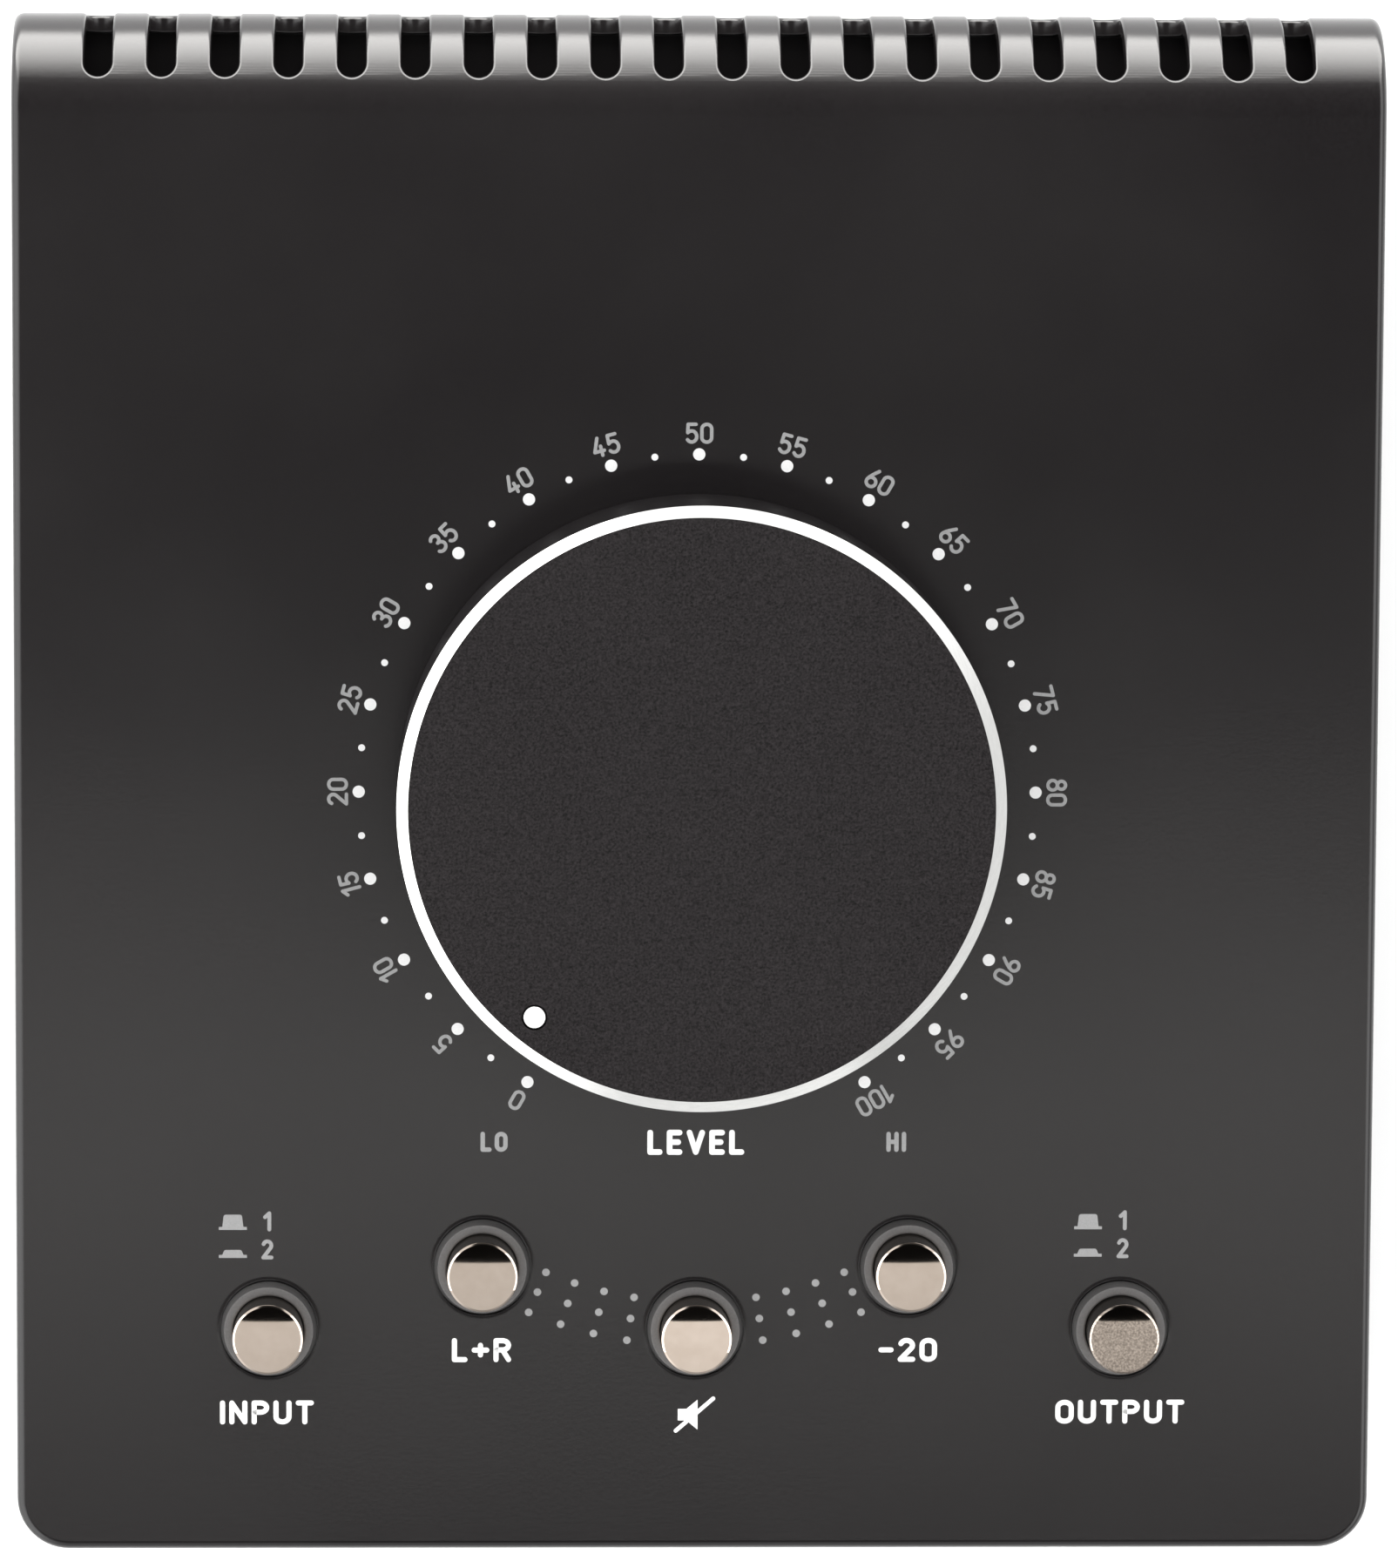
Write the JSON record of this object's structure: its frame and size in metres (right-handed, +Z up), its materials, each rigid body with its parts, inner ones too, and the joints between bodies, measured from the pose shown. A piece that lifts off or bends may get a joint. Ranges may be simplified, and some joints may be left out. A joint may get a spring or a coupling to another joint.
{
  "type": "studio monitor controller",
  "caption": "Desktop studio monitor controller: sloping black housing with vents over its rear curve, a large level knob, latching push-buttons and rear jacks.",
  "frame": {"origin": "on the table, at the centre of the object's footprint", "axes": "+X to the right, +Y to the rear, +Z up; the panel rises to the rear by 6.6 degrees"},
  "size_m": [0.134, 0.1514, 0.0637],
  "materials": {
    "housing_paint": "satin black paint with a fine grain",
    "sheet_steel": "matt black powder coat",
    "zinc_steel": "zinc-plated",
    "rubber": "matt rubber",
    "black_plastic": "moulded black plastic",
    "grey_plastic": "satin grey moulded plastic",
    "white_plastic": "white",
    "circuit_board": "green solder mask",
    "ribbon_cable": "grey ribbon cable",
    "knob_aluminium": "black anodised, fine blasted, with a bright cut edge",
    "chrome": "mirror chrome, slightly warm",
    "nickel": "nickel-plated"
  },
  "bodies": {
    "housing": {"top_shell": "housing_paint", "base_plate": "sheet_steel", "rear_panel": "sheet_steel", "jack_board": "circuit_board", "control_board": "circuit_board", "wiring_ribbon": "ribbon_cable", "base_screw_front_left": "zinc_steel", "foot_front_left": "rubber", "base_screw_front_right": "zinc_steel", "foot_front_right": "rubber", "base_screw_rear_left": "zinc_steel", "foot_rear_left": "rubber", "base_screw_rear_right": "zinc_steel", "foot_rear_right": "rubber", "jack_lower_1": "black_plastic", "jack_nut_lower_1": "nickel", "jack_lower_2": "black_plastic", "jack_nut_lower_2": "nickel", "jack_lower_3": "black_plastic", "jack_nut_lower_3": "nickel", "jack_lower_4": "black_plastic", "jack_nut_lower_4": "nickel", "jack_upper_1": "black_plastic", "jack_nut_upper_1": "nickel", "jack_upper_2": "black_plastic", "jack_nut_upper_2": "nickel", "jack_upper_3": "black_plastic", "jack_nut_upper_3": "nickel", "jack_upper_4": "black_plastic", "jack_nut_upper_4": "nickel", "pot_body": "zinc_steel", "pot_washer": "zinc_steel", "pot_nut": "nickel", "source_button_collar": "grey_plastic", "source_button_switch": "black_plastic", "mono_button_collar": "grey_plastic", "mono_button_switch": "black_plastic", "mute_button_collar": "grey_plastic", "mute_button_switch": "black_plastic", "dim_button_collar": "grey_plastic", "dim_button_switch": "black_plastic", "monitor_button_collar": "grey_plastic", "monitor_button_switch": "black_plastic"},
    "knob": {"knob_cap": "knob_aluminium", "knob_insert": "black_plastic", "knob_pointer": "white_plastic", "pot_shaft": "zinc_steel"},
    "source_button": {"source_button_cap": "chrome", "source_button_plunger": "white_plastic"},
    "mono_button": {"mono_button_cap": "chrome", "mono_button_plunger": "white_plastic"},
    "mute_button": {"mute_button_cap": "chrome", "mute_button_plunger": "white_plastic"},
    "dim_button": {"dim_button_cap": "chrome", "dim_button_plunger": "white_plastic"},
    "monitor_button": {"monitor_button_cap": "chrome", "monitor_button_plunger": "white_plastic"}
  },
  "joints": [
    {"name": "knob_turn", "type": "hinge", "parent": "housing", "child": "knob", "pos_m": [0, -0.00064, 0.04518], "axis": [0, 0.1149, -0.9934], "range_deg": [-8.7, 291.3]},
    {"name": "source_press", "type": "slide", "parent": "housing", "child": "source_button", "axis": [0, 0.1149, -0.9934], "range_m": [0, 0.003], "stiffness_N_per_m": 500, "springref_m": -0.002},
    {"name": "mono_press", "type": "slide", "parent": "housing", "child": "mono_button", "axis": [0, 0.1149, -0.9934], "range_m": [0, 0.003], "stiffness_N_per_m": 500, "springref_m": -0.002},
    {"name": "mute_press", "type": "slide", "parent": "housing", "child": "mute_button", "axis": [0, 0.1149, -0.9934], "range_m": [0, 0.003], "stiffness_N_per_m": 500, "springref_m": -0.002},
    {"name": "dim_press", "type": "slide", "parent": "housing", "child": "dim_button", "axis": [0, 0.1149, -0.9934], "range_m": [0, 0.003], "stiffness_N_per_m": 500, "springref_m": -0.002},
    {"name": "monitor_press", "type": "slide", "parent": "housing", "child": "monitor_button", "axis": [0, 0.1149, -0.9934], "range_m": [0, 0.003], "stiffness_N_per_m": 500, "springref_m": -0.002}
  ]
}
